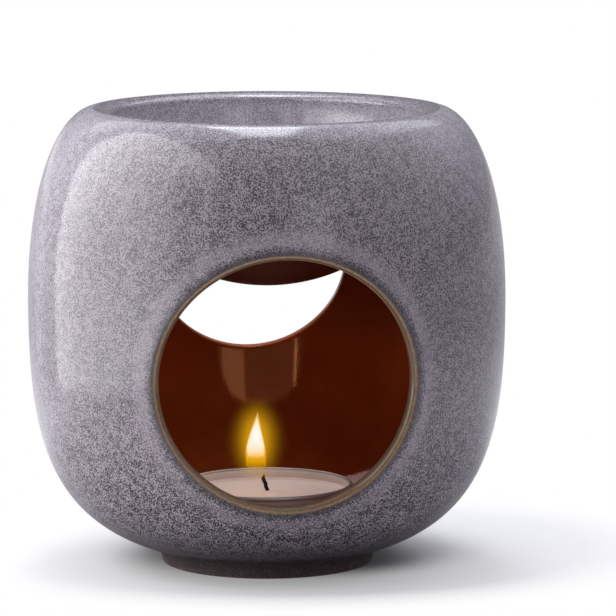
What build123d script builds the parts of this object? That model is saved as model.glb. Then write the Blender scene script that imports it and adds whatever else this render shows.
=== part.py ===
from build123d import *
from math import sqrt
import os

# Essential oil burner: a hollow stoneware shell with two round windows, an oil bowl set
# into its mouth, a foot ring under it and a loose tealight on the floor inside.
# Millimetres. +Z is up, the front window faces -Y, and the origin is on the table at the axis.

# Shell
belly_r = 52.5              # widest radius
belly_z = 58.4              # height of the widest circle
rim_rise = 42.1             # from the widest circle up to the top of the rim
wall = 4.0                  # thickness of the fired clay
base_r = 18.0               # flat part of the underside
base_z = 1.9                # flat part of the underside above the table
underside_rise = 10.0       # degrees, slope of the underside where it leaves the flat part
underside_pull_share = 0.90  # how far the underside keeps its slope, of its width
floor_pull_share = 0.86     # the same for the floor inside
belly_pull_share = 0.56     # how far the belly stays upright below its widest circle
flank_pull_share = 0.65     # how far it stays upright above it
shoulder_pull_share = 0.47  # how far the shoulder stays level next to the rim

# Windows
front_r = 26.75
front_below_belly = 11.9    # centre of the front window under the widest circle
back_r = 22.2
back_above_belly = 4.3      # centre of the back window over it
window_round = 1.2          # softened outer edge
window_inner_round = 0.8    # softened inner edge

# Oil bowl
bowl_r = 34.0               # inside radius at the lip
bowl_depth = 35.0           # rim to bottom, inside
lip_drop = 1.0              # fall of the lip from the rim to its inner edge
lip_round = 1.2

# Foot ring
foot_r = 23.3               # outer edge on the table
foot_land = 3.6             # width of the face that stands on the table
foot_flare = 2.0            # how much wider the ring is where it meets the shell
foot_rise = 1.6             # where its hollow side meets the shell, above the flat underside
foot_cove_share = 0.16      # depth of the hollow side, of its length
foot_round = 0.5
foot_draft = 1.0            # how much the ring widens inwards at its root

# Tealight cup
cup_r = 18.5                # outside of the wall at the rim
cup_flare = 0.4             # how much narrower the wall is at the bottom
cup_height = 11.2
cup_foil = 0.3
cup_corner_round = 1.0
cup_bead_r = 0.45           # rolled rim
cup_seat_gap = 0.05         # air under the loose cup
cup_seat_room = 2.4         # flat floor left free round the cup
cup_ring_r = 13.0           # pressed step in the bottom
cup_ring_rise = 0.4

# Wax
wax_below_rim = 2.45
wax_creep = 0.35            # how far the wax climbs the cup's wall
wax_creep_width = 1.4
mound_r = 7.0               # low swelling where the wax has climbed the wick
mound_rise = 0.6

# Wick and its holder
wick_r = 0.45
wick_free = 3.3             # straight burnt end above the bend
wick_lean = 18.5            # degrees, to the left
wick_bend_r = 1.5
wick_tip_round = 0.2
holder_r = 7.0
holder_gauge = 0.3
holder_neck_r = 1.0
holder_neck_height = 3.2
holder_neck_round = 0.25

overrun = 5.0               # how far cutting shapes run past what they cut
oval_weight = sqrt(0.5)     # weight of the corner that pulls a quarter of an oval

# Values that follow from the sizes above
height = belly_z + rim_rise
mouth_r = bowl_r + wall
cup_base_r = cup_r - cup_flare
floor_r = cup_base_r + cup_seat_room
floor_z = base_z + wall
roof_z = height - wall
lip_z = height - lip_drop
cup_z = floor_z + cup_seat_gap
cup_rim_z = cup_z + cup_height
wax_z = cup_rim_z - wax_below_rim
mound_z = wax_z + mound_rise
holder_z = cup_z + cup_ring_rise + cup_foil
cup_flare_share = cup_flare / cup_height
windows = (
    (front_r, belly_z - front_below_belly, -1),
    (back_r, belly_z + back_above_belly, 1),
)


def turned(*edges):
    """A half section, drawn as radius and height, spun about the upright axis."""
    return revolve(Plane.XZ * make_face(Curve() + list(edges)), Axis.Z)


def pot(side_r, bottom_r, bottom_z, top_z, bottom_pull_share):
    """A solid rounded pot: flat bottom, underside, belly and shoulder up to the mouth."""
    slope = Vector(1, 0).rotate(Axis.Z, underside_rise)
    bottom = Vector(bottom_r, bottom_z)
    belly = Vector(side_r, belly_z)
    top = Vector(mouth_r, top_z)
    underside_pull = bottom + slope * (bottom_pull_share * (side_r - bottom_r))
    belly_pull = belly - Vector(0, belly_pull_share * (belly_z - bottom_z))
    flank_pull = belly + Vector(0, flank_pull_share * (top_z - belly_z))
    shoulder_pull = top + Vector(shoulder_pull_share * (side_r - mouth_r), 0)
    return turned(
        Line((0, bottom_z), bottom),
        Bezier(bottom, underside_pull, belly_pull, belly),
        Bezier(belly, flank_pull, shoulder_pull, top),
        Line(top, (0, top_z)),
        Line((0, top_z), (0, bottom_z)),
    )


def outer_pot():
    """The outside of the shell, filled."""
    return pot(belly_r, base_r, base_z, height, underside_pull_share)


def window_bore(radius, centre_z, facing):
    """A round bar that cuts one window; facing is -1 for the front and 1 for the back."""
    reach = belly_r + overrun
    bar = Rot(90, 0, 0) * Cylinder(radius, reach)
    return Pos(0, facing * reach / 2, centre_z) * bar


def window_rims(shell, inside, inner):
    """The edges of both windows: those on the inside of the shell, or those on its outside."""
    def on_window(edge, radius, centre_z, facing):
        middle = edge.position_at(0.5)
        off_axis = Vector(middle.X, middle.Z - centre_z).length
        on_bore = abs(off_axis - radius) < window_inner_round / 2
        on_inside = inside.distance_to(middle) < window_inner_round / 2
        return on_bore and middle.Y * facing > 0 and on_inside == inner

    curved = [edge for edge in shell.edges() if edge.geom_type != GeomType.LINE]
    return [edge for edge in curved if any(on_window(edge, *window) for window in windows)]


def body_shell():
    """The hollow shell: pot less its inside, the mouth and the two windows, edges softened."""
    inside = pot(belly_r - wall, floor_r, floor_z, roof_z, floor_pull_share)
    mouth = Pos(0, 0, height) * Cylinder(mouth_r, 2 * wall + overrun)
    shell = outer_pot() - inside - mouth
    for window in windows:
        shell -= window_bore(*window)
    shell = fillet(window_rims(shell, inside, inner=False), window_round)
    return fillet(window_rims(shell, inside, inner=True), window_inner_round)


def quarter_oval(bottom, side):
    """A quarter of an oval, from its lowest point on the axis out and up to its side."""
    return Bezier(bottom, (side.X, bottom.Y), side, weights=[1, oval_weight, 1])


def oil_bowl():
    """The bowl: a collar that fills the mouth, an oval outside and inside, and a rolled lip."""
    rim = Vector(mouth_r, height)
    lip = Vector(bowl_r, lip_z)
    seat = Vector(mouth_r, roof_z)
    inner_bottom = Vector(0, height - bowl_depth)
    outer_bottom = inner_bottom - Vector(0, wall)
    section = make_face(Curve() + [
        Line(outer_bottom, inner_bottom),
        quarter_oval(inner_bottom, lip),
        TangentArc(rim, lip, tangent=(-1, 0)),
        Line(rim, seat),
        quarter_oval(outer_bottom, seat),
    ])
    corner = section.vertices().sort_by_distance(lip)[0]
    return revolve(Plane.XZ * fillet(corner, lip_round), Axis.Z)


def foot_ring():
    """The ring under the shell, with a hollow outer side; its top follows the shell."""
    inner_r = foot_r - foot_land
    outer = Vector(foot_r, 0)
    crown = Vector(foot_r + foot_flare, base_z + foot_rise)
    root_z = floor_z
    section = make_face(Curve() + [
        Line((inner_r, 0), outer),
        SagittaArc(outer, crown, foot_cove_share * (crown - outer).length),
        Line(crown, (crown.X, root_z)),
        Line((crown.X, root_z), (inner_r - foot_draft, root_z)),
        Line((inner_r - foot_draft, root_z), (inner_r - foot_draft, base_z)),
        Line((inner_r - foot_draft, base_z), (inner_r, 0)),
    ])
    edges = section.vertices().sort_by(Axis.Y)[:2]
    return revolve(Plane.XZ * fillet(edges, foot_round), Axis.Z) - outer_pot()


def cup_wall_r(z):
    """Outside radius of the slightly flared cup at a height."""
    return cup_base_r + cup_flare_share * (z - cup_z)


def cup_filled(top_z, gauge):
    """The cup's outside up to a height, filled, or the room inside it for a given gauge."""
    low = Vector(cup_wall_r(cup_z + gauge) - gauge, cup_z + gauge)
    top = Vector(cup_wall_r(top_z) - gauge, top_z)
    step = Vector(cup_ring_r, low.Y + cup_ring_rise)
    step_foot = Vector(cup_ring_r + cup_ring_rise, low.Y)
    section = make_face(Curve() + [
        Line((0, step.Y), step),
        Line(step, step_foot),
        Line(step_foot, low),
        Line(low, top),
        Line(top, (0, top_z)),
        Line((0, top_z), (0, step.Y)),
    ])
    corner = section.vertices().sort_by_distance(low)[0]
    return revolve(Plane.XZ * fillet(corner, cup_corner_round - gauge), Axis.Z)


def tealight_cup():
    """The pressed cup with its stepped bottom and rolled rim."""
    bead_z = cup_rim_z - cup_bead_r
    cup = cup_filled(bead_z, 0) - cup_filled(bead_z, cup_foil)
    return cup + Pos(0, 0, bead_z) * Torus(cup_r, cup_bead_r)


def wick():
    """The wick: upright through the wax, then bent over to the left, with a burnt end."""
    stem = Line((0, holder_z), (0, mound_z))
    bend = JernArc(stem @ 1, stem % 1, wick_bend_r, wick_lean)
    burnt = Line(bend @ 1, bend @ 1 + (bend % 1) * wick_free)
    strand = sweep(Pos(0, 0, holder_z) * Circle(wick_r), Plane.XZ * (stem + bend + burnt))
    tip = strand.edges().filter_by(GeomType.CIRCLE).sort_by(Axis.Z)[-1]
    return fillet(tip, wick_tip_round)


def wick_sustainer():
    """The tin disc with a crimped neck round the wick."""
    disc_top = holder_z + holder_gauge
    neck_top = holder_z + holder_neck_height
    section = make_face(Polyline(
        (wick_r, holder_z),
        (holder_r, holder_z),
        (holder_r, disc_top),
        (holder_neck_r, disc_top),
        (holder_neck_r, neck_top),
        (wick_r, neck_top),
        close=True,
    ))
    root = section.vertices().sort_by_distance((holder_neck_r, disc_top))[0]
    return revolve(Plane.XZ * fillet(root, holder_neck_round), Axis.Z)


def candle_wax():
    """The wax: fills the cup, swells a little round the wick and creeps up the wall."""
    creep_z = wax_z + wax_creep
    edge = Vector(cup_wall_r(creep_z) - cup_foil, creep_z)
    creep_foot = Vector(edge.X - wax_creep_width, wax_z)
    outside = cup_r + overrun
    above = cup_rim_z + overrun
    air = turned(
        Bezier((0, mound_z), (mound_r / 2, mound_z), (mound_r / 2, wax_z), (mound_r, wax_z)),
        Line((mound_r, wax_z), creep_foot),
        TangentArc(creep_foot, edge, tangent=(1, 0)),
        Line(edge, (outside, creep_z)),
        Line((outside, creep_z), (outside, above)),
        Line((outside, above), (0, above)),
        Line((0, above), (0, mound_z)),
    )
    return cup_filled(above, cup_foil) - air - wick_sustainer() - wick()


os.makedirs("parts", exist_ok=True)
pieces = (body_shell, oil_bowl, foot_ring, tealight_cup, candle_wax, wick, wick_sustainer)
for piece in pieces:
    export_step(piece(), f"parts/{piece.__name__}.step")
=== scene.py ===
from math import pi, radians

import bmesh
import bpy
import numpy as np
from bpy.props import FloatProperty, FloatVectorProperty, PointerProperty
from bpy.types import NodeSocket, Operator, Panel, PropertyGroup
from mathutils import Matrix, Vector


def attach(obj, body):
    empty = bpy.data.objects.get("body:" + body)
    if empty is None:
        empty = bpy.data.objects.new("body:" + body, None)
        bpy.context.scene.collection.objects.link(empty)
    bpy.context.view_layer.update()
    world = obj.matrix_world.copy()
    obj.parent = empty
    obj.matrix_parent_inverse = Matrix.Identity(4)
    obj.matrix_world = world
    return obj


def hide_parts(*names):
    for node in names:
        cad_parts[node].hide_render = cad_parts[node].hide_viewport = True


bl_info = {
    "name": "Oil burner dressing",
    "version": (1, 0, 0),
    "blender": (4, 5, 0),
    "location": "3D View > Sidebar > Oil burner",
    "description": "Glazed skin, tealight, flame and stage of a stoneware oil burner",
    "category": "Object",
}

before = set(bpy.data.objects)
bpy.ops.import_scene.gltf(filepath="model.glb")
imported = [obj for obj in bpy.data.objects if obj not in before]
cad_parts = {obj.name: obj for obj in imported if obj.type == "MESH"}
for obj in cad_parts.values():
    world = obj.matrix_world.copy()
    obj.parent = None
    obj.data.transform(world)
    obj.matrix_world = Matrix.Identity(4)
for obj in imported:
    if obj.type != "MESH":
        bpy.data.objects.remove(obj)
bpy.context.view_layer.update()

MM = 0.001
WELD = 1e-7                  # points nearer than this become one
CURVE_STEPS = 1500           # samples of each outline curve
CREST_STEPS = 96             # columns in half a turn, the same on shell and bowl
SIDE_STEPS = 56              # columns up each side of half a shell
SKIN_ROWS = 44               # rows from the side of a half to its window
ROUND_ROWS = 7
BORE_ROWS = 5
ROUND_TURN = 160             # columns of the cup and the wax
RIPPLE = 0.045 * MM          # height of the ripples on the wax
BRAID_TWIST = 0.55           # turn of the wick's strands, in radians, per radius along it
BRAID_DEPTH = 0.26           # how far they stand out, of the wick's radius
CRUMBLE = 0.08               # unevenness of its burnt tip, of the radius
FLAME_WIDEST = 0.28          # where the flame starts to taper, of its height
FLAME_ROUND = 0.1            # its rounded foot, of its height
NODE_STEP = (230.0, -320.0)  # how far nodes stand apart in their tree
NODE_COLUMNS = 9

# Marks of faces away from the windows, on the scale of millimetres past a window's edge
IN_BOWL = -60.0              # the bowl's paler inside
FAR_OUTSIDE = -20.0          # nowhere near the chamber
FAR_INSIDE = 40.0            # deep in the chamber
OVER_FLAME = 120.0           # the bowl's sooted underside

# Where the glaze changes, in millimetres past a window's edge
HALO_START = (-7.0, -4.2)    # the glaze grows paler
HALO_END = (-3.4, -2.2)
POOL_START = (-2.8, -1.0)    # it runs together and darkens
EDGE_START = (-1.0, -0.7)    # it thins to dark brown
OUTER_BREAK = -0.4           # middle of the ochre line outside
INNER_BREAK = 0.65           # middle of the ochre line in the bore
DRY_START = (0.4, 1.0)       # the bore loses its gloss
FLUE_START = (0.0, 0.8)      # the chamber's glaze begins at the back window
FLUE_END = (3.6, 5.0)        # and is dry up to here
CHAMBER_START = (3.6, 4.4)   # the chamber's glaze begins elsewhere
SOOT_START = (60.0, 100.0)   # between the marks of the chamber and of the bowl's underside

# Where it changes with height or towards the back, in metres
LOW_BODY = (0.010, 0.052)    # coarse specks on a paler ground thin out upwards
# painted shade: up to these heights the glaze darkens towards the fleck colour on the underside
UNDERSIDE_SHADE = (0.002, 0.016)   # the dark underside ends
CHAMBER_DARKENING = (0.034, 0.064)  # the chamber darkens upwards
FLOOR_RISE = (0.008, 0.030)  # the sheen of the chamber's floor ends
BACK_HALF = (0.0, 0.02)      # the half with the back window

BLACK = (0.0, 0.0, 0.0)
WHITE = (1.0, 1.0, 1.0)
COOL = (0.88, 0.93, 1.0)     # tint of the lamps above and behind
CANDLE = (1.0, 0.66, 0.36)   # tint of the flame's light
FLAME_SKINS = (              # name, heat, cover and strength of light
    ("flame_edge", 0.0, 0.2, 1.1),
    ("flame_body", 0.35, 0.24, 1.3),
    ("flame_heart", 0.95, 0.98, 1.4),
)

# The stage, in metres
ROOM_LEVEL = 0.94            # strength of the room's light, where white to the camera is 1
BACKDROP = (-0.30, 0.93, -0.2)       # way to the white that gloss meets behind the burner
ROOM_TOP = (0.48, -0.05, 0.876)      # way to the brightest part of the room
SHADOW_MIDDLE = (0.008, 0.011, 0.0)
SHADOW_OVAL = (1.0, 1.25, 1.0)       # the shadow is shorter from front to back
FLOOR_R = 6.0
MIDDLE = (0.0, 0.0, 0.055)           # the point that most lamps face
PANELS = (                           # lamp, its place, the point it faces, width, height, tint
    ("left_panel", (-0.20, -0.1275, 0.19), (0.0, -0.1275, 0.19), 0.445, 0.38, WHITE),
    ("left_card", (-0.21, 0.185, 0.13), (0.0, 0.0, 0.13), 0.11, 0.26, COOL),
    ("top_panel", (0.0, 0.35, 0.85), MIDDLE, 1.3, 1.1, COOL),
    ("rim_lamp", (0.01, 0.25, 0.84), MIDDLE, 0.22, 0.65, COOL),
    ("front_card", (0.36, -1.14, 0.27), MIDDLE, 0.41, 0.75, WHITE),
    ("strip", (-0.405, -1.05, 0.60), MIDDLE, 0.025, 1.3, WHITE),
    ("side_strip", (-0.67, -0.92, 0.60), MIDDLE, 0.08, 1.3, WHITE),
)
CAMERA_PLACE = (-0.08704, -0.9710, 0.1946)
CAMERA_DOWN = 8.086                  # degrees below level
CAMERA_RIGHT = 5.654                 # degrees to the right of straight ahead
SENSOR_MM, LENS_MM = 36.0, 261.25


def length(name, description, millimetres):
    """A length, given here in millimetres and kept in metres."""
    return FloatProperty(name=name, description=description, default=millimetres * MM,
                         precision=5, unit="LENGTH", subtype="DISTANCE")


def share(name, description, value):
    """A part of a whole, from 0 to 1."""
    return FloatProperty(name=name, description=description, default=value,
                         min=0.0, max=1.0, subtype="FACTOR")


def angle(name, description, degrees):
    """An angle, given here in degrees."""
    return FloatProperty(name=name, description=description, default=radians(degrees),
                         unit="ROTATION", subtype="ANGLE")


def colour(name, description, red, green, blue):
    """A colour in linear light."""
    return FloatVectorProperty(name=name, description=description, size=3, min=0.0, max=1.0,
                               default=(red, green, blue), subtype="COLOR")


def level(name, description, watts):
    """The power of a lamp."""
    return FloatProperty(name=name, description=description, default=watts, min=0.0,
                         unit="POWER")


class ClaySizes(PropertyGroup):
    """Sizes of the fired clay: shell, windows, bowl and foot."""
    belly_r: length("Belly radius", "Widest radius of the shell", 52.5)
    belly_z: length("Belly height", "Height of the widest circle", 58.4)
    rim_rise: length("Rim rise", "From the widest circle up to the rim", 42.1)
    wall: length("Wall", "Thickness of the clay", 4.0)
    base_r: length("Base radius", "Flat part of the underside", 18.0)
    base_z: length("Base height", "Flat part of the underside above the table", 1.9)
    underside_rise: angle("Underside slope", "Slope where the underside leaves its flat", 10.0)
    underside_pull: share("Underside pull", "How far the underside keeps its slope", 0.90)
    floor_pull: share("Floor pull", "The same for the floor inside", 0.86)
    belly_pull: share("Belly pull", "How far the belly stays upright downwards", 0.56)
    flank_pull: share("Flank pull", "How far the belly stays upright upwards", 0.65)
    shoulder_pull: share("Shoulder pull", "How far the shoulder stays level", 0.47)
    floor_r: length("Floor radius", "Flat floor inside", 20.5)
    front_r: length("Front window radius", "Radius of the front window", 26.75)
    front_z: length("Front window height", "Centre of the front window", 46.5)
    back_r: length("Back window radius", "Radius of the back window", 22.2)
    back_z: length("Back window height", "Centre of the back window", 62.7)
    window_round: length("Window edge", "Softened outer edge of the windows", 1.2)
    inner_round: length("Inner window edge", "Softened inner edge of the windows", 0.8)
    bowl_r: length("Bowl radius", "Inside radius at the lip", 34.0)
    bowl_depth: length("Bowl depth", "Rim to bottom inside", 35.0)
    lip_drop: length("Lip drop", "Fall of the lip from the rim to its inner edge", 1.0)
    lip_round: length("Lip edge", "Softened inner edge of the lip", 1.2)
    foot_r: length("Foot radius", "Outer edge of the foot on the table", 23.3)
    foot_land: length("Foot land", "Width of the face on the table", 3.6)
    foot_flare: length("Foot flare", "How much wider the foot is at the shell", 2.0)
    foot_rise: length("Foot rise", "Where the hollow side ends above the base", 1.6)
    foot_cove: share("Foot cove", "Depth of the hollow side, of its length", 0.16)
    foot_round: length("Foot edge", "Softened edges of the foot", 0.5)
    foot_draft: length("Foot draft", "How much the ring widens inwards at its root", 1.0)


class TealightSizes(PropertyGroup):
    """Sizes of the tealight: cup, wax, wick and flame."""
    cup_r: length("Cup radius", "Outside of the wall at the rim", 18.5)
    cup_flare: length("Cup flare", "How much narrower the wall is at the bottom", 0.4)
    cup_z: length("Cup base", "Height of the cup's underside", 5.95)
    cup_height: length("Cup height", "Underside to rim", 11.2)
    cup_foil: length("Cup foil", "Thickness of the foil", 0.3)
    cup_corner: length("Cup corner", "Round between wall and bottom", 1.0)
    cup_bead: length("Cup bead", "Radius of the rolled rim", 0.45)
    cup_ring_r: length("Cup step", "Radius of the pressed step", 13.0)
    cup_ring_rise: length("Cup step rise", "Height of the pressed step", 0.4)
    wax_z: length("Wax level", "Height of the wax", 14.7)
    wax_creep: length("Wax creep", "How far the wax climbs the wall", 0.35)
    wax_creep_width: length("Wax creep width", "Width of that climb", 1.4)
    wax_slack: length("Wax slack", "Air between wax and foil", 0.02)
    mound_r: length("Mound radius", "Low swelling round the wick", 7.0)
    mound_rise: length("Mound rise", "Height of that swelling", 0.6)
    wick_r: length("Wick radius", "Radius of the wick", 0.45)
    wick_foot_z: length("Wick foot", "Height of the wick's lower end", 6.65)
    wick_free: length("Wick free end", "Straight burnt end above the bend", 3.3)
    wick_bend_r: length("Wick bend", "Radius of the bend", 1.5)
    wick_lean: angle("Wick lean", "Lean of the burnt end to the left", 18.5)
    flame_r: length("Flame radius", "Widest radius of the flame", 2.3)
    flame_foot_z: length("Flame foot", "Lowest part of the flame", 19.9)
    flame_tip_z: length("Flame tip", "Top of the flame", 33.2)
    flame_x: length("Flame offset", "Middle of the flame, left of the axis", -2.4)
    glow_r: length("Glow radius", "Reach of the glow beside the flame", 8.0)
    glow_rise: length("Glow rise", "Reach of the glow above its middle", 11.0)
    glow_z: length("Glow middle", "Height of the middle of the glow", 26.5)


class FinishColours(PropertyGroup):
    """Colours of the finishes."""
    glaze_ground: colour("Glaze ground", "Pale grey of the outside", 0.308, 0.266, 0.307)
    glaze_fleck: colour("Glaze fleck", "Fine dark specks", 0.0167, 0.0132, 0.0181)
    glaze_bowl: colour("Glaze in the bowl", "Paler grey of the bowl's inside", 0.469, 0.431, 0.495)
    glaze_halo: colour("Glaze halo", "Paler glaze round the windows", 0.375, 0.328, 0.378)
    glaze_pool: colour("Glaze pool", "Dark line beside it", 0.0306, 0.0236, 0.025)
    glaze_edge: colour("Glaze edge", "Dark brown of the windows' edges", 0.108, 0.0639, 0.0472)
    glaze_break: colour("Glaze break", "Ochre where the glaze runs thin", 0.312, 0.183, 0.0778)
    chamber: colour("Chamber glaze", "Red-brown of the inside", 0.4, 0.065, 0.0112)
    chamber_thin: colour("Thin chamber glaze", "Lighter red-brown clouds", 0.5, 0.106, 0.02)
    chamber_gloss: colour("Chamber gloss", "Tint of what the chamber mirrors", 1.0, 0.40, 0.17)
    chamber_sheen: colour("Chamber sheen", "Tint of what its floor mirrors", 1.0, 0.6, 0.58)
    foot: colour("Foot", "Dark satin glaze of the foot", 0.0833, 0.0611, 0.0639)
    clay: colour("Bare clay", "Unglazed face under the foot", 0.278, 0.167, 0.111)
    foil: colour("Foil", "Aluminium of the cup", 0.80, 0.77, 0.77)
    tin: colour("Tin", "Sustainer of the wick", 0.66, 0.66, 0.65)
    soot: colour("Soot", "Sooted underside of the bowl", 0.0694, 0.00972, 0.00278)
    wax: colour("Wax", "Peach wax", 0.95, 0.82, 0.76)
    # also the colour of the wax's painted glow
    wax_melt_and_glow: colour("Melted wax", "Wetter wax round the wick", 0.90, 0.70, 0.65)
    char: colour("Char", "Burnt wick", 0.012, 0.009, 0.008)
    ember: colour("Ember", "Glow at the wick's tip", 1.0, 0.28, 0.03)
    flame_core: colour("Flame core", "Hottest part of the flame", 0.90, 0.85, 1.0)
    flame_edge: colour("Flame edge", "Cooler edge of the flame", 1.0, 0.60, 0.08)
    flame_foot: colour("Flame foot", "Dim orange foot of the flame", 0.80, 0.38, 0.0)
    glow: colour("Glow", "Golden glow round the flame", 1.0, 0.50, 0.01)
    floor: colour("Floor", "Pale floor", 0.833, 0.819, 0.84)
    room: colour("Room", "Dim light low in the room", 0.217, 0.217, 0.226)
    ceiling: colour("Ceiling", "Light from high in the room", 0.95, 0.95, 1.0)


class StageLamps(PropertyGroup):
    """Power of the lamps."""
    left_panel: level("Left panel", "Soft panel on the left", 1.84)
    left_card: level("Left card", "Cool card beside the panel, further back", 0.036)
    top_panel: level("Top panel", "Cool panel above and behind", 3.96)
    rim_lamp: level("Rim lamp", "Small cool lamp high behind the rim", 2.16)
    front_card: level("Front card", "Low card on the right of the camera", 0.562)
    strip: level("Strip", "Narrow strip on the left of the camera", 0.173)
    side_strip: level("Side strip", "Wider strip further to the left", 0.46)
    candle: level("Candle light", "Light of the flame", 0.000902)


class OilBurner(PropertyGroup):
    """All settings of the burner."""
    clay: PointerProperty(type=ClaySizes, name="Clay", description="Sizes of the clay")
    tealight: PointerProperty(type=TealightSizes, name="Tealight", description="Its sizes")
    colours: PointerProperty(type=FinishColours, name="Colours", description="Finishes")
    lamps: PointerProperty(type=StageLamps, name="Lamps", description="Power of the lamps")


def settings():
    """The burner's settings on the current scene."""
    return bpy.context.scene.oil_burner


def cubic(start, first_pull, second_pull, end, steps=CURVE_STEPS):
    """Cubic Bezier curve: cubes and products of t and 1 - t weigh the four points."""
    t = np.linspace(0.0, 1.0, steps)[:, None]
    a, b, c, d = (np.asarray(p, float) for p in (start, first_pull, second_pull, end))
    return (1 - t)**3 * a + 3 * (1 - t)**2 * t * b + 3 * (1 - t) * t**2 * c + t**3 * d


def rounded(start, corner, end, steps):
    """Quadratic Bezier curve from start to end that leans into the corner."""
    t = np.linspace(0.0, 1.0, steps)
    t = t.reshape((-1,) + (1,) * np.ndim(start))
    return (1 - t)**2 * start + 2 * (1 - t) * t * corner + t**2 * end


def straight(start, end, steps):
    """Evenly spaced points on a line."""
    t = np.linspace(0.0, 1.0, steps)
    t = t.reshape((-1,) + (1,) * np.ndim(start))
    return start + t * (np.asarray(end, float) - start)


def oval_quarter(side_r, depth, top_z, steps):
    """A quarter of an oval from its lowest point: r goes with sine, z with minus cosine."""
    t = np.linspace(0.0, pi / 2, steps)
    return np.stack([side_r * np.sin(t), top_z - depth * np.cos(t)], axis=1)


def distance_up(outline):
    """Running distance along an outline."""
    steps = np.linalg.norm(np.diff(outline, axis=0), axis=1)
    return np.concatenate([[0.0], np.cumsum(steps)])


def pot_outline(clay, side_r, bottom_r, bottom_z, top_z, bottom_pull):
    """One side of the pot as radius and height: a cubic curve from the sloping underside to
    the upright belly, and a second from the belly to the level shoulder at the mouth."""
    slope = np.array([np.cos(clay.underside_rise), np.sin(clay.underside_rise)])
    bottom = np.array([bottom_r, bottom_z])
    belly = np.array([side_r, clay.belly_z])
    top = np.array([clay.bowl_r + clay.wall, top_z])
    up = np.array([0.0, 1.0])
    out = np.array([1.0, 0.0])
    lower = cubic(bottom, bottom + slope * bottom_pull * (side_r - bottom_r),
                  belly - up * clay.belly_pull * (clay.belly_z - bottom_z), belly)
    upper = cubic(belly, belly + up * clay.flank_pull * (top_z - clay.belly_z),
                  top + out * clay.shoulder_pull * (side_r - top[0]), top)
    return np.vstack([lower, upper[1:]])


def outer_outline(clay):
    """The outside of the shell."""
    top_z = clay.belly_z + clay.rim_rise
    return pot_outline(clay, clay.belly_r, clay.base_r, clay.base_z, top_z, clay.underside_pull)


def inner_outline(clay):
    """The inside of the shell, one wall further in."""
    top_z = clay.belly_z + clay.rim_rise - clay.wall
    return pot_outline(clay, clay.belly_r - clay.wall, clay.floor_r, clay.base_z + clay.wall,
                       top_z, clay.floor_pull)


def fillet_arc(start, corner, end, weight, rows):
    """Arc of a circle from start to end that touches both sides of a corner: a quadratic curve
    over a quadratic sum, with the corner's share weighed by the cosine of half the turn."""
    t = np.linspace(0.0, 1.0, rows)[:, None, None]
    middle = 2 * t * (1 - t) * weight[:, None]
    return ((1 - t)**2 * start + middle * corner + t**2 * end) / ((1 - t)**2 + middle + t**2)


def grid_faces(rows, columns):
    """Four corners of each cell of a grid whose columns close up into a ring."""
    row, column = np.meshgrid(np.arange(rows - 1), np.arange(columns), indexing="ij")
    after = (column + 1) % columns
    corners = [row * columns + column, row * columns + after,
               (row + 1) * columns + after, (row + 1) * columns + column]
    return np.stack(corners, axis=-1).reshape(-1, 4)


def turned(outline, columns=2 * CREST_STEPS):
    """Surface of revolution: each point of the outline goes round as r sin a, -r cos a, z."""
    turn = np.linspace(0.0, 2 * pi, columns, endpoint=False)
    r, z = outline[:, :1], outline[:, 1:]
    return np.stack([r * np.sin(turn), -r * np.cos(turn), z + 0 * turn], axis=-1)


def wall_points(outline, turn, up, facing):
    """Points on the turned wall from their turn off the window and their distance up it."""
    along = distance_up(outline)
    r = np.interp(up, along, outline[:, 0])
    z = np.interp(up, along, outline[:, 1])
    return np.stack([r * np.sin(turn), facing * r * np.cos(turn), z], axis=-1)


def window_line(outline, radius, centre_z, round_angle):
    """Turn and distance up where a bar of this radius, level and pointing at the axis,
    comes through the wall: the sine of the turn is the distance across over the radius."""
    z = centre_z + radius * np.sin(round_angle)
    r = np.interp(z, outline[:, 1], outline[:, 0])
    up = np.interp(z, outline[:, 1], distance_up(outline))
    return np.stack([np.arcsin(radius * np.cos(round_angle) / r), up], axis=-1)


def half_border(outline):
    """Border of half a wall as turn and distance up: along the bottom, up one side, back
    along the mouth and down the other side."""
    turn = np.linspace(-pi / 2, pi / 2, CREST_STEPS + 1)
    up = np.linspace(0.0, distance_up(outline)[-1], SIDE_STEPS + 1)
    bottom = np.stack([turn, 0 * turn + up[0]], axis=1)
    right = np.stack([0 * up + turn[-1], up], axis=1)
    top = np.stack([turn[::-1], 0 * turn + up[-1]], axis=1)
    left = np.stack([0 * up + turn[0], up[::-1]], axis=1)
    return np.vstack([bottom[:-1], right[:-1], top[:-1], left[:-1]])


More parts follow.
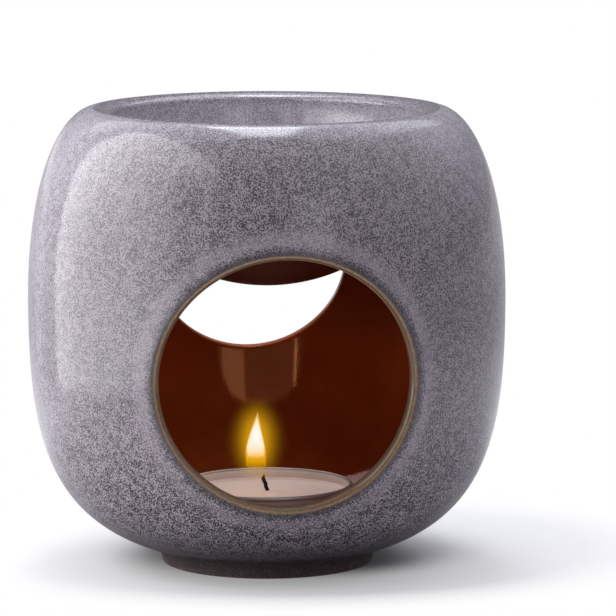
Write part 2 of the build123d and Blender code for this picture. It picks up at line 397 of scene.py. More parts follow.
def pierced_half(clay, radius, centre_z, facing):
    """Half of the shell round its window. Straight lines on the unrolled wall run from the
    border of the half to the window's line; there each column turns over the softened edge,
    goes through the bore, turns over the inner edge and runs back to the border inside.
    The mark of a point is its distance in millimetres past the window's sharp edge."""
    outer, inner = outer_outline(clay), inner_outline(clay)
    border, inner_border = half_border(outer), half_border(inner)
    middle_r = np.interp(centre_z, outer[:, 1], outer[:, 0])
    middle_up = np.interp(centre_z, outer[:, 1], distance_up(outer))
    ring = np.arctan2(border[:, 1] - middle_up, border[:, 0] * middle_r)
    into = np.array([0.0, -facing, 0.0])

    def on_wall(outline, bar_r):
        line = window_line(outline, bar_r, centre_z, ring)
        return line, wall_points(outline, line[:, 0], line[:, 1], facing)

    def softened(outline, soft_r, way):
        line, edge = on_wall(outline, radius)
        lean = np.interp(edge[:, 2], outline[:, 1], np.gradient(outline[:, 0], outline[:, 1]))
        across = (np.sin(line[:, 0]) * np.cos(ring) - lean * np.sin(ring)) / np.hypot(1.0, lean)
        half_turn = np.arccos(-way * across) / 2
        reach = soft_r * np.tan(half_turn)
        along_wall = reach * np.sqrt(1 - across**2)
        lip_line, lip = on_wall(outline, radius + along_wall)
        return lip_line, lip, edge, edge + way * into * reach[:, None], np.cos(half_turn)

    def skin(outline, edge, line):
        ease = 1.0 - (1.0 - np.linspace(0.0, 1.0, SKIN_ROWS))**1.5
        at = edge + ease[:, None, None] * (line - edge)
        return wall_points(outline, at[..., 0], at[..., 1], facing)

    outer_line, outer_lip, outer_edge, bore_start, outer_weight = softened(outer, clay.window_round, 1.0)
    inner_line, inner_lip, inner_edge, bore_end, inner_weight = softened(inner, clay.inner_round, -1.0)
    points = np.concatenate([
        skin(outer, border, outer_line)[:-1],
        fillet_arc(outer_lip, outer_edge, bore_start, outer_weight, ROUND_ROWS)[:-1],
        straight(bore_start, bore_end, BORE_ROWS)[:-1],
        fillet_arc(bore_end, inner_edge, inner_lip, inner_weight, ROUND_ROWS)[:-1],
        skin(inner, inner_border, inner_line)[::-1],
    ])
    steps = np.linalg.norm(np.diff(points, axis=0), axis=2)
    run = np.concatenate([np.zeros((1, len(ring))), np.cumsum(steps, axis=0)])
    edge_row = SKIN_ROWS - 1 + ROUND_ROWS // 2
    return points, (run - run[edge_row]) / MM


def shell_patches(clay):
    """The whole shell: two pierced halves, the seat at the mouth, the underside and the floor."""
    crest_r, crest_z = clay.bowl_r + clay.wall, clay.belly_z + clay.rim_rise
    floor_z = clay.base_z + clay.wall
    seat = np.array([[crest_r, crest_z], [crest_r, crest_z - clay.wall]])
    underside = straight(np.array([clay.base_r, clay.base_z]), [0.0, clay.base_z], 12)
    floor = straight(np.array([clay.floor_r, floor_z]), [0.0, floor_z], 16)
    return [
        pierced_half(clay, clay.front_r, clay.front_z, -1.0),
        pierced_half(clay, clay.back_r, clay.back_z, 1.0),
        (turned(seat), FAR_OUTSIDE),
        (turned(underside), FAR_OUTSIDE),
        (turned(floor), FAR_INSIDE),
    ]


def bowl_patches(clay):
    """The bowl turned from its section: the oval inside, the softened edge of the lip, the
    lip's arc up to the crest, the collar and the oval underside."""
    crest = np.array([clay.bowl_r + clay.wall, clay.belly_z + clay.rim_rise])
    lip = np.array([clay.bowl_r, crest[1] - clay.lip_drop])
    lip_width = crest[0] - lip[0]
    arc_r = (lip_width**2 + clay.lip_drop**2) / (2 * clay.lip_drop)
    arc_turn = np.arcsin(lip_width / arc_r)
    soft = clay.lip_round * np.tan((pi / 2 - arc_turn) / 2)
    inside = oval_quarter(clay.bowl_r, clay.bowl_depth - clay.lip_drop, lip[1], 220)
    inside = inside[inside[:, 1] < lip[1] - soft]
    inside = np.vstack([inside[:-20:3], inside[-20:]])
    turn = np.linspace(arc_turn - soft / arc_r, 0.0, 16)[:, None]
    centre = crest - [0.0, arc_r]
    arc = centre + arc_r * np.hstack([-np.sin(turn), np.cos(turn)])
    edge = rounded(inside[-1], lip, arc[0], 10)
    seat_z = crest[1] - clay.wall
    under = oval_quarter(crest[0], clay.bowl_depth, seat_z, 72)[::-1]
    top = np.vstack([inside, edge[1:-1], arc])
    below_lip = np.clip((lip[1] - top[:, 1:]) / (4 * clay.lip_round), 0.0, 0.5)
    below_lip += np.clip(0.5 * (crest[0] - top[:, :1]) / lip_width, 0.0, 0.5)
    return [
        (turned(top), FAR_OUTSIDE + (IN_BOWL - FAR_OUTSIDE) * below_lip),
        (turned(np.vstack([crest, under[0]])), FAR_OUTSIDE),
        (turned(under), OVER_FLAME),
    ]


def foot_patches(clay):
    """The foot turned from its closed section: a flat land with softened edges, a hollow side
    that bends inwards from the chord, a top sunk a hair into the shell and a sloping inside."""
    outer = outer_outline(clay)
    inner_r = clay.foot_r - clay.foot_land
    edge = np.array([clay.foot_r, 0.0])
    crown = np.array([clay.foot_r + clay.foot_flare, clay.base_z + clay.foot_rise])
    chord = crown - edge
    pull = (edge + crown) / 2 + 2 * clay.foot_cove * np.array([-chord[1], chord[0]])
    cove = rounded(edge, pull, crown, 120)
    skin_z = np.interp(cove[:, 0], outer[:, 0], outer[:, 1]) + clay.foot_round * 0.1
    cove = cove[(cove[:, 1] < skin_z) & (cove[:, 1] > clay.foot_round)]
    root_r = inner_r - clay.foot_draft
    top_r = np.linspace(cove[-1, 0], root_r, 14)
    top = np.stack([top_r, np.interp(top_r, outer[:, 0], outer[:, 1])], axis=1)
    top[:, 1] += clay.foot_round * 0.1
    land_out = edge - [clay.foot_round, 0.0]
    heel = np.array([inner_r, 0.0])
    heel_up = heel + clay.foot_round * np.array([-clay.foot_draft, clay.base_z]) / clay.base_z
    ring = np.vstack([
        rounded(land_out, edge, cove[0], 8)[:-1],
        cove[::4],
        top,
        straight(top[-1], heel_up, 5)[1:-1],
        rounded(heel_up, heel, heel + [clay.foot_round, 0.0], 8),
        straight(heel + [clay.foot_round, 0.0], land_out, 6)[1:],
    ])
    return [(turned(ring), 0.0)]


def cup_wall_r(cup, z):
    """Outside radius of the flared cup at a height."""
    return cup.cup_r - cup.cup_flare * (1.0 - (z - cup.cup_z) / cup.cup_height)


def cup_section(cup, gauge):
    """The cup's bottom and wall, or the room in it for a gauge: a raised disc, a step, the
    round corner and the wall up to the bead."""
    z = cup.cup_z + gauge
    top_z = cup.cup_z + cup.cup_height - cup.cup_bead
    corner = np.array([cup_wall_r(cup, z) - gauge, z])
    soft = cup.cup_corner - gauge
    top = np.array([cup_wall_r(cup, top_z) - gauge, top_z])
    before, after = corner - [soft, 0.0], corner + [0.0, soft]
    return np.vstack([
        straight(np.array([0.0, z + cup.cup_ring_rise]), [cup.cup_ring_r, z + cup.cup_ring_rise], 14),
        straight(np.array([cup.cup_ring_r + cup.cup_ring_rise, z]), before, 6),
        rounded(before, corner, after, 8)[1:],
        straight(after, top, 20)[1:],
    ])


def cup_patches(cup):
    """The cup turned from one line: out along its underside, up the wall, round the rolled
    bead and back down inside."""
    outside, inside = cup_section(cup, 0.0), cup_section(cup, cup.cup_foil)
    bead = np.array([cup.cup_r, cup.cup_z + cup.cup_height - cup.cup_bead])
    turn = np.linspace(-0.3 * pi, 1.2 * pi, 26)[:, None]
    roll = bead + cup.cup_bead * np.hstack([np.cos(turn), np.sin(turn)])
    line = np.vstack([outside[:-1], roll, inside[:-1][::-1]])
    return [(turned(line, ROUND_TURN), 0.0)]


def wax_patches(cup):
    """The wax turned from its section: the cup's inside less a hair, the creep up the wall as
    an arc, the level top and the low mound round the wick as a cubic curve. Products of sines
    of x and y ripple the top by a few hundredths of a millimetre, less towards the wick."""
    creep_z = cup.wax_z + cup.wax_creep
    inside = cup_section(cup, cup.cup_foil)
    inside[:, 0] = np.maximum(inside[:, 0] - cup.wax_slack, 0.0)
    inside = inside[inside[:, 1] < creep_z]
    edge = np.array([cup_wall_r(cup, creep_z) - cup.cup_foil - cup.wax_slack, creep_z])
    foot = np.array([edge[0] - cup.wax_creep_width, cup.wax_z])
    mound_z = cup.wax_z + cup.mound_rise
    mound = cubic((cup.mound_r, cup.wax_z), (cup.mound_r / 2, cup.wax_z),
                  (cup.mound_r / 2, mound_z), (0.0, mound_z), 24)
    creep = rounded(edge, np.array([(edge[0] + foot[0]) / 2, cup.wax_z]), foot, 12)
    line = np.vstack([inside, creep, straight(foot, mound[0], 14)[1:-1], mound])
    points = turned(line, ROUND_TURN)
    x, y = points[..., 0], points[..., 1]
    wave = np.sin(x * 610.0 + 1.3) * np.sin(y * 470.0 - 0.6) + 0.6 * np.sin((x - y) * 930.0)
    calm = np.clip(np.hypot(x, y) / (2 * MM), 0, 1)
    top = (np.arange(len(line)) >= len(inside) + len(creep) - 1)[:, None]
    points[..., 2] += np.where(top, RIPPLE * wave * calm, 0.0)
    return [(points, 0.0)]


def wick_line(cup):
    """Middle of the wick as x and z: upright through the wax, an arc to the left and a
    straight burnt end."""
    mound_z = cup.wax_z + cup.mound_rise
    stem = straight(np.array([0.0, cup.wick_foot_z]), [0.0, mound_z], 40)
    turn = np.linspace(0.0, cup.wick_lean, 14)[:, None]
    bend = cup.wick_bend_r * np.hstack([np.cos(turn), np.sin(turn)]) + [-cup.wick_bend_r, mound_z]
    ahead = np.array([-np.sin(cup.wick_lean), np.cos(cup.wick_lean)])
    burnt = straight(bend[-1], bend[-1] + ahead * cup.wick_free, 60)
    return np.vstack([stem, bend[1:], burnt[1:]])


def wick_patches(cup):
    """The wick: a round section carried along its line, pressed in by two crossing sets of
    strands that wind both ways, swelling and crumbling a little at the rounded tip. The mark
    is the distance from the tip in millimetres."""
    line = wick_line(cup)
    run = distance_up(line)
    ahead = np.gradient(line, run, axis=0)
    ahead /= np.linalg.norm(ahead, axis=1)[:, None]
    left = np.stack([-ahead[:, 1], ahead[:, 0]], axis=1)
    to_tip = run[-1] - run
    turn = np.linspace(0.0, 2 * pi, 40, endpoint=False)
    twist = run[:, None] / cup.wick_r * BRAID_TWIST
    braid = np.abs(np.sin(1.5 * (turn + twist))) * np.abs(np.sin(1.5 * (turn - twist)))
    cap = np.sqrt(np.clip(1 - (1 - np.clip(to_tip / cup.wick_r, 0, 1))**2, 0, 1))
    foot_cap = np.clip(run / (0.2 * cup.wick_r), 0, 1)
    crumble = CRUMBLE * np.sin(run[:, None] / MM * 9.0 + 2.0 * np.sin(2 * turn))
    swell = 0.82 + BRAID_DEPTH * braid + crumble * np.exp(-to_tip / (2 * MM))[:, None]
    r = cup.wick_r * swell * (cap * foot_cap)[:, None]
    x = line[:, :1] + r * np.cos(turn) * left[:, :1]
    z = line[:, 1:] + r * np.cos(turn) * left[:, 1:]
    return [(np.stack([x, r * np.sin(turn), z], axis=-1), to_tip[:, None] / MM + 0 * turn)]


def flame_patches(cup, heat):
    """One closed skin of the flame: a bullet that is round at its foot as a quarter of an oval
    and tapers to a point by powers of the height. Heat, from 0 at the outermost skin to 1 at
    the core, narrows it and draws its ends in. A sine of the height bows it to the left. The
    mark of a point is how far up the flame it is, from 0 to 1."""
    height = cup.flame_tip_z - cup.flame_foot_z
    low, high = 0.18 * heat, 1.0 - 0.12 * heat
    up = 0.5 - 0.5 * np.cos(np.linspace(0.0, pi, 64))
    rise = np.clip((up - FLAME_WIDEST) / (1 - FLAME_WIDEST), 0, 1)
    foot = np.sqrt(np.clip(1 - (1 - np.clip(up / FLAME_ROUND, 0, 1))**2, 0, 1))
    taper = (1 - rise**1.35)**1.1 * (0.92 + 0.08 * np.clip(up / FLAME_WIDEST, 0, 1))
    r = cup.flame_r * (1 - 0.2 * heat) * foot * taper
    share_up = low + (high - low) * up
    z = cup.flame_foot_z + height * share_up
    middle = cup.flame_x - 0.3 * MM * np.sin(share_up * pi) + 0.35 * MM * share_up
    points = turned(np.stack([r, z], axis=1), 48)
    points[..., 0] += middle[:, None]
    return points, share_up[:, None] + 0 * points[..., 0]


def veil_patches(cup):
    """The glow as one closed egg round the flame: r goes with sine, z with minus cosine."""
    turn = np.linspace(0.0, pi, 49)
    egg = np.stack([cup.glow_r * np.sin(turn), cup.glow_z - cup.glow_rise * np.cos(turn)], axis=1)
    points = turned(egg, 64)
    points[..., 0] += cup.flame_x
    return [(points, 0.0)]


def put_mesh(name, patches, mark="past_edge", sharp=50.0):
    """A smooth closed mesh from grids of points: points that fall together become one, cells
    that lose a side become triangles, and faces are turned outwards."""
    points = np.concatenate([grid.reshape(-1, 3) for grid, _ in patches])
    marks = np.concatenate([np.broadcast_to(value, grid.shape[:2]).reshape(-1)
                            for grid, value in patches])
    starts = np.cumsum([0] + [grid.shape[0] * grid.shape[1] for grid, _ in patches])
    cells = np.concatenate([grid_faces(*grid.shape[:2]) + start
                            for (grid, _), start in zip(patches, starts)])
    whole = np.round(points / WELD).astype(np.int64)
    first, place = np.unique(whole, axis=0, return_index=True, return_inverse=True)[1:]
    cells = place.reshape(-1)[cells]
    keep = cells != np.roll(cells, -1, axis=1)
    keep &= (keep.sum(axis=1) > 2)[:, None]
    sides = keep.sum(axis=1)
    sides = sides[sides > 0]
    corners = cells[keep]
    mesh = bpy.data.meshes.new(name)
    mesh.vertices.add(len(first))
    mesh.vertices.foreach_set("co", points[first].astype(np.float32).reshape(-1))
    mesh.loops.add(len(corners))
    mesh.loops.foreach_set("vertex_index", corners.astype(np.int32))
    mesh.polygons.add(len(sides))
    mesh.polygons.foreach_set("loop_start", (np.cumsum(sides) - sides).astype(np.int32))
    mesh.update(calc_edges=True)
    mesh.validate()
    held = mesh.attributes.new(mark, "FLOAT", "POINT")
    held.data.foreach_set("value", marks[first].astype(np.float32))
    loose = bmesh.new()
    loose.from_mesh(mesh)
    bmesh.ops.recalc_face_normals(loose, faces=loose.faces[:])
    loose.to_mesh(mesh)
    loose.free()
    mesh.shade_smooth()
    mesh.set_sharp_from_angle(angle=radians(sharp))
    return mesh


def put_piece(name, patches, material, body, slot, *nodes, mark="past_edge", sharp=50.0):
    """A piece that rides on a body, with its finish and the nodes it stands for."""
    mesh = put_mesh(name, patches, mark, sharp)
    mesh.materials.append(material)
    piece = bpy.data.objects.new(name, mesh)
    bpy.context.scene.collection.objects.link(piece)
    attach(piece, body)
    if nodes:
        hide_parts(*nodes)
    return piece


class Wiring:
    """A node tree with short ways to add nodes and join them."""

    def __init__(self, tree):
        self.tree = tree
        tree.nodes.clear()

    def add(self, kind, inputs=None, **values):
        """A node with its settings; each input gets a value or a link from a socket."""
        made = self.tree.nodes.new(kind)
        row, column = divmod(len(self.tree.nodes), NODE_COLUMNS)
        made.location = (NODE_STEP[0] * column, NODE_STEP[1] * row)
        for key, value in values.items():
            setattr(made, key, value)
        for key, value in (inputs or {}).items():
            self.feed(made.inputs[key], value)
        return made

    def feed(self, socket, value):
        """A link if the value is a socket, and otherwise the socket's own value."""
        if isinstance(value, NodeSocket):
            self.tree.links.new(value, socket)
        else:
            socket.default_value = value

    def maths(self, operation, first, second=0.0):
        """One sum on one or two values."""
        return self.add("ShaderNodeMath", {0: first, 1: second}, operation=operation).outputs[0]

    def times(self, first, second):
        """The product of two values."""
        return self.maths("MULTIPLY", first, second)

    def plus(self, first, second):
        """The sum of two values."""
        return self.maths("ADD", first, second)

    def less(self, first, second):
        """The first value less the second."""
        return self.maths("SUBTRACT", first, second)

    def most(self, first, second):
        """The larger of two values."""
        return self.maths("MAXIMUM", first, second)

    def vector(self, operation, first, second=(0.0, 0.0, 0.0)):
        """A sum or product of places and directions, as its vector and its value."""
        return self.add("ShaderNodeVectorMath", {0: first, 1: second}, operation=operation).outputs

    def split(self, place):
        """The X, Y and Z of a place."""
        return self.add("ShaderNodeSeparateXYZ", {0: place}).outputs

    def fade(self, value, low, high, low_to=0.0, high_to=1.0):
        """A smooth step from one value at low to another at high."""
        return self.add("ShaderNodeMapRange", {
            "Value": value, "From Min": low, "From Max": high, "To Min": low_to, "To Max": high_to,
        }, interpolation_type="SMOOTHSTEP").outputs[0]

    def blend(self, amount, under, over):
        """Two colours, mixed by an amount."""
        return self.add("ShaderNodeMix", {0: amount, 6: paint(under), 7: paint(over)},
                        data_type="RGBA").outputs[2]

    def noise(self, place, scale, detail, roughness):
        """Cloudy noise between 0 and 1."""
        return self.add("ShaderNodeTexNoise", {
            "Vector": place, "Scale": scale, "Detail": detail, "Roughness": roughness,
        }).outputs[0]

    def group(self, shared, **inputs):
        """What comes out of a shared node group, given values of its own."""
        made = self.add("ShaderNodeGroup", node_tree=shared)
        for key, value in inputs.items():
            self.feed(made.inputs[key.replace("_", " ").capitalize()], value)
        return made.outputs[0]

    def mark(self, name):
        """A value kept on the points of the mesh."""
        return self.add("ShaderNodeAttribute", attribute_name=name).outputs["Fac"]

    def here(self):
        """Place in the object's own coordinates."""
        return self.add("ShaderNodeTexCoord").outputs["Object"]

    def surface(self, inputs):
        """The Principled shader that ends a material."""
        shader = self.add("ShaderNodeBsdfPrincipled", inputs)
        self.add("ShaderNodeOutputMaterial", {"Surface": shader.outputs[0]})

    def bump(self, height, strength, depth):
        """A normal from a height; depth is the height's full size."""
        return self.add("ShaderNodeBump", {
            "Height": height, "Strength": strength, "Distance": depth,
        }).outputs[0]


def paint(value):
    """A colour with its alpha, or a socket as it is."""
    return value if isinstance(value, NodeSocket) else (*value[:3], 1.0)


def toned(tone, factor):
    """A colour made darker or lighter by a factor."""
    return [factor * part for part in tone]


def shared_group(name, inputs, output, wire):
    """A node group with named inputs, each with its default, and one value that comes out. It
    is made once, and wire joins its nodes and gives the socket of that value."""
    tree = bpy.data.node_groups.get(name)
    if tree:
        return tree
    tree = bpy.data.node_groups.new(name, "ShaderNodeTree")
    for key, value in inputs.items():
        kind = "NodeSocketVector" if value is None else "NodeSocketFloat"
        socket = tree.interface.new_socket(key, in_out="INPUT", socket_type=kind)
        if value is not None:
            socket.default_value = value
    tree.interface.new_socket(output, in_out="OUTPUT", socket_type="NodeSocketFloat")
    wires = Wiring(tree)
    wires.add("NodeGroupOutput", {output: wire(wires, wires.add("NodeGroupInput").outputs)})
    return tree


def fine_speckle():
    """Shared group: small sharp specks whose cover drifts over the surface."""
    def wire(wires, given):
        fine = wires.noise(given["Place"], given["Scale"], 1.2, 0.65)
        drift = wires.noise(given["Place"], wires.times(given["Scale"], 0.16), 2.0, 0.5)
        bent = wires.plus(fine, wires.times(wires.less(drift, 0.5), 0.22))
        limit = wires.less(1.0, given["Cover"])
        return wires.fade(bent, wires.less(limit, given["Edge"]), wires.plus(limit, given["Edge"]))

    inputs = {"Place": None, "Scale": 2300.0, "Cover": 0.5, "Edge": 0.08}
    return shared_group("fine_speckle", inputs, "Speck", wire)


def soft_mottle():
    """Shared group: slow clouds of tone, centred on zero."""
    def wire(wires, given):
        return wires.less(wires.noise(given["Place"], given["Scale"], 4.0, 0.55), 0.5)

    return shared_group("soft_mottle", {"Place": None, "Scale": 60.0}, "Cloud", wire)


def hand_thrown():
    """Shared group: height of the slow waves and fine pitting of a glazed or cast surface."""
    def wire(wires, given):
        wave = wires.noise(given["Place"], given["Wave"], 1.0, 0.4)
        pit = wires.noise(given["Place"], given["Pit"], 1.0, 0.5)
        return wires.plus(wave, wires.times(pit, given["Pit share"]))

    inputs = {"Place": None, "Wave": 90.0, "Pit": 1400.0, "Pit share": 0.12}
    return shared_group("hand_thrown", inputs, "Height", wire)


def new_material(name):
    """An empty material and its wiring."""
    material = bpy.data.materials.new(name)
    material.use_nodes = True
    return material, Wiring(material.node_tree)


def stoneware_glaze():
    """Speckled grey glaze outside, with coarser specks low down, painted shade on the underside
    and a paler bowl. Past a window's edge it goes through a pale halo, a dark pool and two ochre
    lines to the red-brown glaze of the chamber. That glaze lines the back window's bore as well,
    darkens towards the top and is sooted under the bowl."""
    found = bpy.data.materials.get("stoneware_glaze")
    if found:
        return found
    colours = settings().colours
    material, wires = new_material("stoneware_glaze")
    place = wires.here()
    across = wires.split(place)
    height = across["Z"]
    ragged = wires.less(wires.noise(place, 700.0, 2.0, 0.6), 0.5)
    past = wires.plus(wires.mark("past_edge"), wires.times(ragged, 0.4))
    cloud = wires.group(soft_mottle(), place=place, scale=70.0)

    low = wires.fade(height, *LOW_BODY, 1.0, 0.0)
    in_bowl = wires.fade(past, IN_BOWL, FAR_OUTSIDE, 1.0, 0.0)
    ground = wires.blend(wires.fade(cloud, -0.25, 0.25, 0.0, 0.35), colours.glaze_ground,
                         toned(colours.glaze_ground, 0.78))
    ground = wires.blend(low, ground, toned(colours.glaze_ground, 1.72))
    ground = wires.blend(in_bowl, ground, colours.glaze_bowl)
    # painted shade: the ground darkens towards the fleck colour near the bottom
    ground = wires.blend(wires.fade(height, *UNDERSIDE_SHADE, 0.7, 0.0), ground, colours.glaze_fleck)
    fine = wires.group(fine_speckle(), place=place, scale=3300.0, cover=0.50, edge=0.04)
    coarse = wires.group(fine_speckle(), place=place, scale=2300.0, cover=0.43, edge=0.045)
    speck = wires.most(fine, wires.times(coarse, low))
    cover = wires.plus(wires.fade(past, IN_BOWL, FAR_OUTSIDE, 0.5, 0.84), wires.times(low, 0.16))
    grey = wires.blend(wires.times(speck, cover), ground, colours.glaze_fleck)

    halo = wires.times(wires.fade(past, *HALO_START, 0.0, 0.34), wires.fade(past, *HALO_END, 1.0, 0.0))
    rim = wires.blend(halo, grey, colours.glaze_halo)
    rim = wires.blend(wires.fade(past, *POOL_START, 0.0, 0.75), rim, colours.glaze_pool)
    rim = wires.blend(wires.fade(past, *EDGE_START), rim, colours.glaze_edge)
    outer = wires.fade(wires.maths("ABSOLUTE", wires.less(past, OUTER_BREAK)), 0.12, 0.36, 1.0, 0.0)
    inner = wires.fade(wires.maths("ABSOLUTE", wires.less(past, INNER_BREAK)), 0.2, 0.5, 0.8, 0.0)
    streaks = wires.fade(wires.noise(place, 1500.0, 2.0, 0.6), 0.3, 0.7, 0.5, 1.0)
    rim = wires.blend(wires.times(wires.most(outer, inner), streaks), rim, colours.glaze_break)

    chamber = wires.blend(wires.fade(cloud, -0.2, 0.3), colours.chamber, colours.chamber_thin)
    # darker towards the top: the chamber's glaze blends towards the soot colour upwards
    darker_up = wires.fade(wires.plus(height, wires.times(cloud, 0.03)), *CHAMBER_DARKENING, 0.0, 0.88)
    sooted = wires.fade(past, *SOOT_START)
    chamber = wires.blend(wires.most(sooted, darker_up), chamber, colours.soot)
    flue = wires.times(wires.fade(past, *FLUE_START), wires.fade(across["Y"], *BACK_HALF))
    within = wires.most(wires.fade(past, *CHAMBER_START), flue)
    bore = wires.times(flue, wires.fade(past, *FLUE_END, 1.0, 0.0))

    gloss = wires.fade(within, 0.0, 1.0, 0.14, 0.06)
    dry = wires.times(wires.fade(past, *DRY_START, 0.0, 0.4), wires.fade(within, 0.0, 1.0, 1.0, 0.0))
    gloss = wires.plus(gloss, wires.most(dry, wires.times(sooted, 0.5)))
    mirror = wires.plus(0.5, wires.times(wires.most(within, in_bowl), 0.5))
    tint = wires.blend(wires.fade(height, *FLOOR_RISE), colours.chamber_sheen, colours.chamber_gloss)
    wires.surface({
        "Base Color": wires.blend(within, rim, chamber),
        "Roughness": wires.plus(gloss, wires.times(cloud, 0.06)),
        "IOR": 1.62,
        "Specular IOR Level": wires.less(mirror, wires.times(wires.most(sooted, bore), 0.88)),
        "Specular Tint": wires.blend(within, WHITE, tint),
        "Normal": wires.bump(wires.group(hand_thrown(), place=place), 0.35, 0.18 * MM),
    })
    return material


def foot_glaze():
    """Dark satin glaze with paler specks on the foot, worn to bare clay where it stands."""
    colours = settings().colours
    material, wires = new_material("foot_glaze")
    place = wires.here()
    cloud = wires.group(soft_mottle(), place=place, scale=160.0)
    speck = wires.group(fine_speckle(), place=place, scale=2600.0, cover=0.42, edge=0.06)
    glaze = wires.blend(wires.times(speck, 0.6), colours.foot, toned(colours.foot, 3.0))
    height = wires.plus(wires.split(place)["Z"], wires.times(cloud, 0.6 * MM))
    worn = wires.fade(height, 0.1 * MM, 0.4 * MM)
    wires.surface({
        "Base Color": wires.blend(worn, colours.clay, glaze),
        "Roughness": wires.fade(worn, 0.0, 1.0, 0.85, 0.42),
        "Normal": wires.bump(wires.group(hand_thrown(), place=place, pit_share=0.4), 0.4, 0.2 * MM),
    })
    return material


def pressed_metal(name, tone, roughness):
    """Pressed sheet: satin metal with faint upright streaks and small dents."""
    material, wires = new_material(name)
    place = wires.here()
    drawn = wires.add("ShaderNodeMapping", {"Vector": place, "Scale": (1.0, 1.0, 0.06)}).outputs[0]
    streak = wires.noise(drawn, 1900.0, 3.0, 0.6)
    cloud = wires.group(soft_mottle(), place=place, scale=240.0)
    wires.surface({
        "Base Color": wires.blend(wires.fade(streak, 0.3, 0.7), toned(tone, 0.95), tone),
        "Metallic": 0.4,
        "Roughness": wires.plus(roughness, wires.times(cloud, 0.2)),
        "Normal": wires.bump(wires.plus(wires.times(streak, 0.05), cloud), 0.25, 0.1 * MM),
    })
    return material


def peach_wax():
    """Wax with a faint bloom, a wetter ring round the wick and a painted glow: an even light of
    its own all over, standing in for the flame's light and other light that reaches it."""
    colours = settings().colours
    material, wires = new_material("peach_wax")
    place = wires.here()
    cloud = wires.group(soft_mottle(), place=place, scale=210.0)
    reach = wires.vector("LENGTH", wires.vector("MULTIPLY", place, (1.0, 1.0, 0.0))[0])["Value"]
    edge = wires.plus(reach, wires.times(cloud, 4 * MM))
    wet = wires.fade(edge, 1.5 * MM, 7 * MM, 1.0, 0.0)
    tone = wires.blend(wires.fade(cloud, -0.3, 0.3), colours.wax, toned(colours.wax, 0.9))
    wires.surface({
        "Base Color": wires.blend(wires.times(wet, 0.6), tone, colours.wax_melt_and_glow),
        "Roughness": wires.fade(wet, 0.0, 1.0, 0.5, 0.28),
        "Subsurface Weight": 0.25,
        "Subsurface Radius": (1.0, 0.6, 0.4),
        "Subsurface Scale": 1.5 * MM,
        # painted light: the whole wax glows evenly, standing in for light that reaches it
        "Emission Color": paint(colours.wax_melt_and_glow),
        "Emission Strength": 0.26,
        "Normal": wires.bump(wires.group(hand_thrown(), place=place, wave=260.0), 0.3, 0.2 * MM),
    })
    return material


def charred_wick():
    """Burnt cotton: black crust with grey ash in its creases, and embers at the very tip."""
    colours = settings().colours
    material, wires = new_material("charred_wick")
    place = wires.here()
    crust = wires.noise(place, 3800.0, 3.0, 0.7)
    ash = wires.fade(crust, 0.55, 0.8, 0.0, 0.5)
    near = wires.fade(wires.mark("to_tip"), 0.1, 0.7, 1.0, 0.0)
    spots = wires.fade(wires.noise(place, 2400.0, 1.0, 0.5), 0.50, 0.62)
    wires.surface({
        "Base Color": wires.blend(ash, colours.char, toned(colours.char, 7.0)),
        "Roughness": 0.9,
        "Emission Color": wires.blend(wires.times(near, spots), BLACK, colours.ember),
        "Emission Strength": 1.2,
        "Normal": wires.bump(crust, 0.8, 0.2 * MM),
    })
    return material


def pure_light(name, wire):
    """A material that only gives light: wire gives its cover, its colour and its strength."""
    material, wires = new_material(name)
    cover, tone, strength = wire(wires, settings().colours)
    wires.surface({
        "Base Color": paint(BLACK),
        "Roughness": 1.0,
        "Specular IOR Level": 0.0,
        "Alpha": cover,
        "Emission Color": paint(tone),
        "Emission Strength": strength,
    })
    return material


def flame_skin(heat, cover, strength):
    """One skin of the flame: light of its heat that thins out towards the foot, and that is
    denser where the skin turns away from the eye, least so at the core."""
    def wire(wires, colours):
        up = wires.mark("up_flame")
        cool = wires.fade(up, 0.16, 0.46, 1.0, 0.0)
        edge = [a + (b - a) * heat for a, b in zip(colours.flame_edge, colours.flame_core)]
        seen = wires.fade(up, 0.02 + 0.18 * heat, 0.1 + 0.22 * heat, 0.0, cover)
        facing = wires.add("ShaderNodeLayerWeight", {"Blend": 0.5}).outputs["Facing"]
        denser = wires.fade(facing, 0.2, 0.8, 0.7 + 0.3 * heat, 1.4 - 0.4 * heat)
        return wires.times(seen, denser), wires.blend(cool, edge, colours.flame_foot), strength

    return pure_light(f"flame_{round(heat * 100):03d}", wire)


def glow_veil():
    """Golden light round the flame. The cosine of the angle between the egg's face and the eye
    gives the way out from its middle, and the light dies away along it to nothing."""
    def wire(wires, colours):
        facing = wires.add("ShaderNodeLayerWeight", {"Blend": 0.5}).outputs["Facing"]
        cosine = wires.less(1.0, facing)
        out = wires.maths("SQRT", wires.less(1.0, wires.maths("POWER", cosine, 2.0)))
        left = wires.maths("POWER", wires.less(1.0, out), 3.2)
        return wires.times(left, wires.fade(out, 0.0, 0.3, 0.1, 0.9)), colours.glow, 1.0

    return pure_light("flame_glow", wire)


